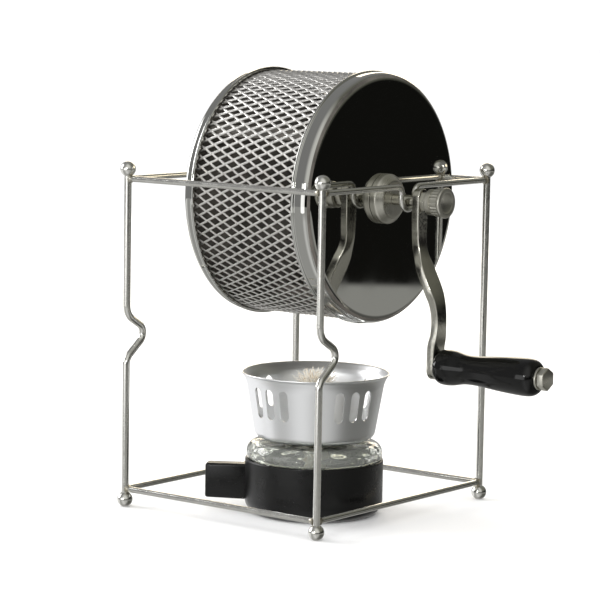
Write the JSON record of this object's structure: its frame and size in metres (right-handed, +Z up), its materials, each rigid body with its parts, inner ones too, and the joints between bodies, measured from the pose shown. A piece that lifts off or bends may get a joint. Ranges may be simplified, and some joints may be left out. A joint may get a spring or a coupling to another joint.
{
  "type": "hand-cranked coffee roaster",
  "caption": "Small hand-cranked coffee roaster: a mesh drum with steel end caps turns in a welded wire stand over an alcohol burner with a wind shield.",
  "frame": {"origin": "on the table, under the middle of the whole object's box", "axes": "+Z up, X along the drum's shaft with the crank at +X, -Y the front"},
  "size_m": [0.2346, 0.1626, 0.2451],
  "materials": {
    "stainless_wire": "polished",
    "stainless_mesh": "satin",
    "mirror_steel": "mirror polished",
    "chromed_steel": "polished",
    "black_plastic": "gloss",
    "clear_glass": "clear",
    "cotton": "matte twisted strands",
    "aluminium": "satin, lightly brushed"
  },
  "bodies": {
    "stand": {"post_front_crank": "stainless_wire", "top_ball_front_crank": "stainless_wire", "foot_ball_front_crank": "stainless_wire", "post_back_crank": "stainless_wire", "top_ball_back_crank": "stainless_wire", "foot_ball_back_crank": "stainless_wire", "post_front_lid": "stainless_wire", "top_ball_front_lid": "stainless_wire", "foot_ball_front_lid": "stainless_wire", "post_back_lid": "stainless_wire", "top_ball_back_lid": "stainless_wire", "foot_ball_back_lid": "stainless_wire", "top_rail_front": "stainless_wire", "bottom_rail_front": "stainless_wire", "top_rail_back": "stainless_wire", "bottom_rail_back": "stainless_wire", "saddle_rail_crank": "stainless_wire", "bottom_rail_crank": "stainless_wire", "saddle_rail_lid": "stainless_wire", "bottom_rail_lid": "stainless_wire"},
    "drum": {"drum_sleeve": "stainless_mesh", "crank_end_cap": "mirror_steel", "crank_end_hub": "chromed_steel", "vane_1": "stainless_mesh", "vane_2": "stainless_mesh", "vane_3": "stainless_mesh", "drum_shaft": "chromed_steel", "crank_arm": "chromed_steel", "crank_lock_nut": "chromed_steel", "crank_thumb_knob": "chromed_steel", "grip_spindle": "chromed_steel", "grip_washer": "chromed_steel", "grip_end_nut": "chromed_steel"},
    "grip": {"crank_grip": "black_plastic"},
    "lid": {"lid_end_cap": "mirror_steel", "lid_hub": "chromed_steel", "lid_thumb_screw": "chromed_steel"},
    "burner": {"burner_base": "black_plastic"},
    "lamp": {"lamp_bowl": "clear_glass", "wick_holder": "chromed_steel", "wick": "cotton"},
    "shield": {"wind_shield": "aluminium"}
  },
  "joints": [
    {"name": "drum_spin", "type": "hinge", "parent": "stand", "child": "drum", "pos_m": [0, 0, 0.17623], "axis": [1, 0, 0], "continuous": true},
    {"name": "grip_spin", "type": "hinge", "parent": "drum", "child": "grip", "pos_m": [0.0785, 0, 0.08733], "axis": [1, 0, 0], "continuous": true},
    {"name": "lid_slide", "type": "slide", "parent": "drum", "child": "lid", "axis": [-1, 0, 0], "range_m": [0, 0.018]},
    {"name": "burner_out", "type": "slide", "parent": "stand", "child": "burner", "axis": [0, -0.9026, 0.4305], "range_m": [0, 0.12]},
    {"name": "lamp_lift", "type": "slide", "parent": "burner", "child": "lamp", "axis": [0, 0, 1], "range_m": [0, 0.012]},
    {"name": "shield_lift", "type": "slide", "parent": "lamp", "child": "shield", "axis": [0, 0, 1], "range_m": [0, 0.012]}
  ]
}
